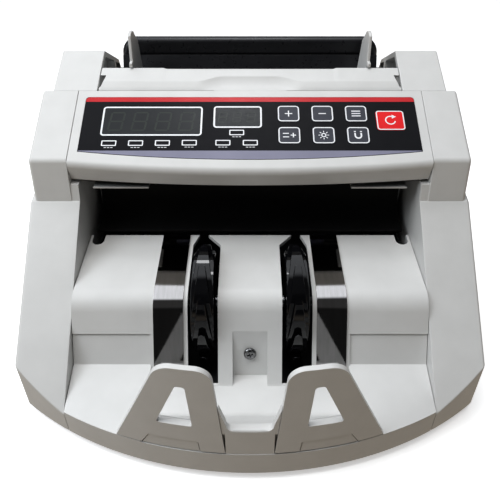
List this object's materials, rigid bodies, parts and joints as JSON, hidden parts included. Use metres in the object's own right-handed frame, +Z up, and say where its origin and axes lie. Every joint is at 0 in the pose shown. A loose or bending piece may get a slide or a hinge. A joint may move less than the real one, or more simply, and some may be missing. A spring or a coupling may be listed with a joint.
{
  "type": "banknote counting machine",
  "caption": "Desktop banknote counting machine: sloped control panel, rear hopper with sliding guides, stacker wheels in front and a pocket with open prongs.",
  "frame": {"origin": "centre of the overall box at the bottom of the feet", "axes": "+X to the user's right, +Y from the stacker prongs at the front to the rear cover, +Z up"},
  "size_m": [0.29, 0.262, 0.1974],
  "materials": {
    "casing": "satin, fine moulded texture",
    "base": "matt",
    "rubber": "matt",
    "foil": "printed film, satin",
    "key": "printed film over a dome",
    "key_red": "printed film over a dome",
    "display": "tinted window",
    "board": "solder mask",
    "bright_steel": "polished",
    "zinc": "zinc plated",
    "black_plastic": "satin",
    "gloss_black": "gloss",
    "roller_rubber": "ground rubber",
    "lamp": "tube glass",
    "screw": "black oxide"
  },
  "bodies": {
    "chassis": {"base_plate": "base", "foot_front_left": "rubber", "foot_front_right": "rubber", "foot_rear_left": "rubber", "foot_rear_right": "rubber", "control_head": "casing", "panel_membrane": "foil", "count_display": "display", "batch_display": "display", "control_board": "board", "stacker_housing": "casing", "guide_strip_left": "bright_steel", "guide_strip_right": "bright_steel", "housing_screw": "screw", "rear_cover": "casing", "power_inlet": "black_plastic", "hopper_front_wall": "casing", "hopper_plate": "black_plastic", "guide_rod": "bright_steel", "main_motor": "zinc", "feed_belt": "rubber", "stacker_belt": "rubber", "note_chute": "black_plastic", "separator_roller": "roller_rubber", "separator_bracket": "zinc", "uv_lamp": "lamp", "magnetic_head": "zinc", "main_board": "board", "transformer": "zinc", "side_cover_left": "casing", "side_cover_right": "casing", "stacker_prong_left": "casing", "stacker_prong_right": "casing", "side_frame_left": "zinc", "side_frame_right": "zinc"},
    "stacker_rotor": {"stacker_shaft": "bright_steel", "stacker_wheel_left": "gloss_black", "stacker_wheel_right": "gloss_black"},
    "pickup_rotor": {"pickup_shaft": "bright_steel", "pickup_roller_left": "roller_rubber", "pickup_roller_right": "roller_rubber"},
    "feed_rotor": {"feed_shaft": "bright_steel", "feed_roller_left": "roller_rubber", "feed_roller_right": "roller_rubber"},
    "transport_rotor": {"transport_shaft": "bright_steel", "transport_roller_left": "roller_rubber", "transport_roller_right": "roller_rubber"},
    "motor_rotor": {"motor_pulley": "bright_steel"},
    "gap_knob": {"gap_adjust_knob": "black_plastic"},
    "power_switch": {"power_rocker": "black_plastic"},
    "guide_left": {"hopper_guide_left": "casing"},
    "guide_right": {"hopper_guide_right": "casing"},
    "handle": {"carry_handle": "black_plastic"},
    "key_plus": {"key_plus": "key"},
    "key_minus": {"key_minus": "key"},
    "key_batch": {"key_batch": "key"},
    "key_add": {"key_add": "key"},
    "key_uv_check": {"key_uv_check": "key"},
    "key_magnetic_check": {"key_magnetic_check": "key"},
    "key_restart": {"key_restart": "key_red"}
  },
  "joints": [
    {"name": "stacker_spin", "type": "hinge", "parent": "chassis", "child": "stacker_rotor", "pos_m": [0, -0.0343, 0.052], "axis": [1, 0, 0], "continuous": true},
    {"name": "pickup_spin", "type": "hinge", "parent": "chassis", "child": "pickup_rotor", "pos_m": [0, 0.095, 0.1375], "axis": [1, 0, 0], "continuous": true},
    {"name": "feed_spin", "type": "hinge", "parent": "chassis", "child": "feed_rotor", "pos_m": [0, 0.067, 0.121], "axis": [1, 0, 0], "continuous": true},
    {"name": "transport_spin", "type": "hinge", "parent": "chassis", "child": "transport_rotor", "pos_m": [0, 0.047, 0.099], "axis": [1, 0, 0], "continuous": true},
    {"name": "motor_spin", "type": "hinge", "parent": "chassis", "child": "motor_rotor", "pos_m": [0, 0.084, 0.045], "axis": [1, 0, 0], "continuous": true},
    {"name": "gap_knob_turn", "type": "hinge", "parent": "chassis", "child": "gap_knob", "pos_m": [0, 0.123, 0.155], "axis": [0, 0, 1], "range_deg": [-180, 180]},
    {"name": "power_rocker_tilt", "type": "hinge", "parent": "chassis", "child": "power_switch", "pos_m": [0.0395, 0.124, 0.034], "axis": [-1, 0, 0], "range_deg": [0, 22]},
    {"name": "guide_left_slide", "type": "slide", "parent": "chassis", "child": "guide_left", "axis": [1, 0, 0], "range_m": [-0.008, 0.03]},
    {"name": "guide_right_slide", "type": "slide", "parent": "chassis", "child": "guide_right", "axis": [1, 0, 0], "range_m": [-0.03, 0.008]},
    {"name": "handle_fold", "type": "hinge", "parent": "chassis", "child": "handle", "pos_m": [0, 0.1248, 0.158], "axis": [-1, 0, 0], "range_deg": [0, 90]},
    {"name": "key_plus_press", "type": "slide", "parent": "chassis", "child": "key_plus", "axis": [0, 0.4886, -0.8725], "range_m": [0, 0.0006], "stiffness_N_per_m": 600},
    {"name": "key_minus_press", "type": "slide", "parent": "chassis", "child": "key_minus", "axis": [0, 0.4886, -0.8725], "range_m": [0, 0.0006], "stiffness_N_per_m": 600},
    {"name": "key_batch_press", "type": "slide", "parent": "chassis", "child": "key_batch", "axis": [0, 0.4886, -0.8725], "range_m": [0, 0.0006], "stiffness_N_per_m": 600},
    {"name": "key_add_press", "type": "slide", "parent": "chassis", "child": "key_add", "axis": [0, 0.4886, -0.8725], "range_m": [0, 0.0006], "stiffness_N_per_m": 600},
    {"name": "key_uv_check_press", "type": "slide", "parent": "chassis", "child": "key_uv_check", "axis": [0, 0.4886, -0.8725], "range_m": [0, 0.0006], "stiffness_N_per_m": 600},
    {"name": "key_magnetic_check_press", "type": "slide", "parent": "chassis", "child": "key_magnetic_check", "axis": [0, 0.4886, -0.8725], "range_m": [0, 0.0006], "stiffness_N_per_m": 600},
    {"name": "key_restart_press", "type": "slide", "parent": "chassis", "child": "key_restart", "axis": [0, 0.4886, -0.8725], "range_m": [0, 0.0006], "stiffness_N_per_m": 600}
  ],
  "couplings": [
    {"joint": "motor_spin", "follows": "stacker_spin", "ratio": 2},
    {"joint": "transport_spin", "follows": "stacker_spin", "ratio": 2},
    {"joint": "feed_spin", "follows": "stacker_spin", "ratio": 1.5},
    {"joint": "pickup_spin", "follows": "stacker_spin", "ratio": 2.25},
    {"joint": "guide_right_slide", "follows": "guide_left_slide", "ratio": -1}
  ]
}
